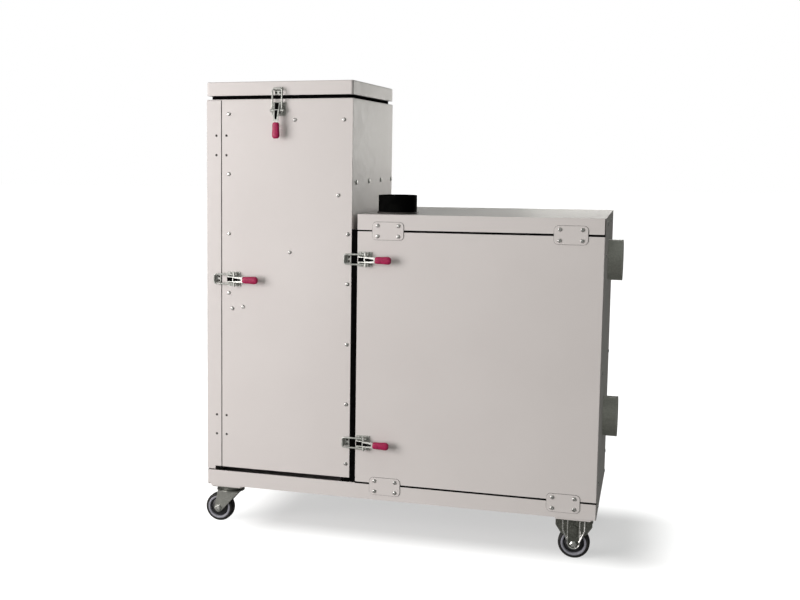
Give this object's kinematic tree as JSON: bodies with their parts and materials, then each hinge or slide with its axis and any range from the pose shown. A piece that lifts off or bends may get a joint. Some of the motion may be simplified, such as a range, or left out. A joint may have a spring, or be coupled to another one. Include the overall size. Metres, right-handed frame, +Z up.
{
  "type": "pellet-fired warm-air heater",
  "caption": "Mobile pellet-fired warm-air heater: hopper tower with hinged lid and side door beside a heat-exchanger box with duct collars and flue stub, on castors.",
  "frame": {"origin": "centre of the bounding box's footprint, on the floor under the wheels", "axes": "+Z up, -Y toward the front with the latches, +X toward the duct collars, the hopper tower at -X"},
  "size_m": [1.108, 0.5298, 1.232],
  "materials": {
    "casing_paint": "pale grey textured powder coat",
    "zinc_steel": "dull zinc plate",
    "collar_steel": "rolled galvanised sheet",
    "flue_black": "matt black heat-proof paint",
    "fire_steel": "scaled black steel",
    "motor_metal": "cast and pressed metal",
    "rim_grey": "moulded grey-lavender rim",
    "black_rubber": "black rubber",
    "black_plastic": "moulded black plastic",
    "red_vinyl": "dipped red vinyl"
  },
  "bodies": {
    "casing": {"base_tray": "casing_paint", "tower_shell": "casing_paint", "tower_front_plate": "casing_paint", "tower_head": "casing_paint", "door_tongues": "zinc_steel", "hopper": "casing_paint", "hinge_butts": "zinc_steel", "exchanger_shell": "casing_paint", "exchanger_side": "casing_paint", "exchanger_cover": "casing_paint", "exchanger_front_panel": "casing_paint", "joint_plates": "casing_paint", "joint_gasket": "black_rubber", "duct_collars": "collar_steel", "flue_stub": "flue_black", "heat_exchanger": "fire_steel", "burner": "fire_steel", "auger_tube": "zinc_steel", "auger_gearmotor": "motor_metal", "fan_frame": "flue_black", "control_box": "black_plastic", "casing_fasteners": "zinc_steel", "swivel_castor_plates": "zinc_steel", "rigid_castor_forks": "zinc_steel", "latch_bases": "zinc_steel", "tower_catches": "zinc_steel"},
    "lid": {"lid_shell": "casing_paint", "lid_liner": "casing_paint", "lid_gasket": "black_rubber", "lid_hinge_leaves": "zinc_steel", "lid_catch": "zinc_steel"},
    "side_door": {"side_door": "casing_paint", "door_hinge_leaves": "zinc_steel", "door_catch": "zinc_steel", "door_rivets": "zinc_steel"},
    "auger": {"auger_screw": "fire_steel"},
    "blower_rotor": {"blower_rotor": "zinc_steel"},
    "fan_rotor": {"fan_rotor": "motor_metal"},
    "front_swivel": {"front_swivel_fork": "zinc_steel"},
    "rear_swivel": {"rear_swivel_fork": "zinc_steel"},
    "lid_lever": {"lid_latch_lever": "zinc_steel", "lid_latch_grip": "red_vinyl"},
    "lid_bail": {"lid_latch_bail": "zinc_steel"},
    "door_lever": {"door_latch_lever": "zinc_steel", "door_latch_grip": "red_vinyl"},
    "door_bail": {"door_latch_bail": "zinc_steel"},
    "upper_lever": {"upper_latch_lever": "zinc_steel", "upper_latch_grip": "red_vinyl"},
    "upper_bail": {"upper_latch_bail": "zinc_steel"},
    "lower_lever": {"lower_latch_lever": "zinc_steel", "lower_latch_grip": "red_vinyl"},
    "lower_bail": {"lower_latch_bail": "zinc_steel"},
    "front_left_wheel": {"front_left_hub": "rim_grey", "front_left_tyre": "black_rubber"},
    "front_right_wheel": {"front_right_hub": "rim_grey", "front_right_tyre": "black_rubber"},
    "rear_left_wheel": {"rear_left_hub": "rim_grey", "rear_left_tyre": "black_rubber"},
    "rear_right_wheel": {"rear_right_hub": "rim_grey", "rear_right_tyre": "black_rubber"}
  },
  "joints": [
    {"name": "lid_hinge", "type": "hinge", "parent": "casing", "child": "lid", "pos_m": [-0.333, 0.2599, 1.19], "axis": [-1, 0, 0], "range_deg": [0, 100]},
    {"name": "side_door_hinge", "type": "hinge", "parent": "casing", "child": "side_door", "pos_m": [-0.507, 0.2599, 0.67], "axis": [0, 0, -1], "range_deg": [0, 110]},
    {"name": "lid_lever_pivot", "type": "hinge", "parent": "casing", "child": "lid_lever", "pos_m": [-0.333, -0.2444, 1.17], "axis": [-1, 0, 0], "range_deg": [0, 90]},
    {"name": "lid_bail_pivot", "type": "hinge", "parent": "lid_lever", "child": "lid_bail", "pos_m": [-0.333, -0.2474, 1.154], "axis": [-1, 0, 0], "range_deg": [-90, 0]},
    {"name": "door_lever_pivot", "type": "hinge", "parent": "casing", "child": "door_lever", "pos_m": [-0.4705, -0.2444, 0.697], "axis": [0, 0, -1], "range_deg": [0, 90]},
    {"name": "door_bail_pivot", "type": "hinge", "parent": "door_lever", "child": "door_bail", "pos_m": [-0.4545, -0.2474, 0.697], "axis": [0, 0, -1], "range_deg": [-90, 0]},
    {"name": "upper_lever_pivot", "type": "hinge", "parent": "casing", "child": "upper_lever", "pos_m": [-0.103, -0.2444, 0.762], "axis": [0, 0, -1], "range_deg": [0, 90]},
    {"name": "upper_bail_pivot", "type": "hinge", "parent": "upper_lever", "child": "upper_bail", "pos_m": [-0.087, -0.2474, 0.762], "axis": [0, 0, -1], "range_deg": [-90, 0]},
    {"name": "lower_lever_pivot", "type": "hinge", "parent": "casing", "child": "lower_lever", "pos_m": [-0.103, -0.2444, 0.267], "axis": [0, 0, -1], "range_deg": [0, 90]},
    {"name": "lower_bail_pivot", "type": "hinge", "parent": "lower_lever", "child": "lower_bail", "pos_m": [-0.087, -0.2474, 0.267], "axis": [0, 0, -1], "range_deg": [-90, 0]},
    {"name": "auger_spin", "type": "hinge", "parent": "casing", "child": "auger", "pos_m": [-0.358, 0.0096, 0.571], "axis": [1, 0, 0], "continuous": true},
    {"name": "blower_spin", "type": "hinge", "parent": "casing", "child": "blower_rotor", "pos_m": [-0.302, 0.0096, 0.4], "axis": [1, 0, 0], "continuous": true},
    {"name": "fan_spin", "type": "hinge", "parent": "casing", "child": "fan_rotor", "pos_m": [0.202, 0.2346, 0.43], "axis": [0, 1, 0], "continuous": true},
    {"name": "front_swivel_turn", "type": "hinge", "parent": "casing", "child": "front_swivel", "pos_m": [-0.483, -0.1934, 0.095], "axis": [0, 0, 1], "continuous": true},
    {"name": "front_left_wheel_spin", "type": "hinge", "parent": "front_swivel", "child": "front_left_wheel", "pos_m": [-0.514, -0.1934, 0.04], "axis": [0, 1, 0], "continuous": true},
    {"name": "front_right_wheel_spin", "type": "hinge", "parent": "casing", "child": "front_right_wheel", "pos_m": [0.462, -0.1934, 0.04], "axis": [0, 1, 0], "continuous": true},
    {"name": "rear_swivel_turn", "type": "hinge", "parent": "casing", "child": "rear_swivel", "pos_m": [-0.483, 0.2126, 0.095], "axis": [0, 0, 1], "continuous": true},
    {"name": "rear_left_wheel_spin", "type": "hinge", "parent": "rear_swivel", "child": "rear_left_wheel", "pos_m": [-0.514, 0.2126, 0.04], "axis": [0, 1, 0], "continuous": true},
    {"name": "rear_right_wheel_spin", "type": "hinge", "parent": "casing", "child": "rear_right_wheel", "pos_m": [0.462, 0.2126, 0.04], "axis": [0, 1, 0], "continuous": true}
  ],
  "couplings": [
    {"joint": "lid_bail_pivot", "follows": "lid_lever_pivot", "ratio": -1},
    {"joint": "door_bail_pivot", "follows": "door_lever_pivot", "ratio": -1},
    {"joint": "upper_bail_pivot", "follows": "upper_lever_pivot", "ratio": -1},
    {"joint": "lower_bail_pivot", "follows": "lower_lever_pivot", "ratio": -1}
  ]
}
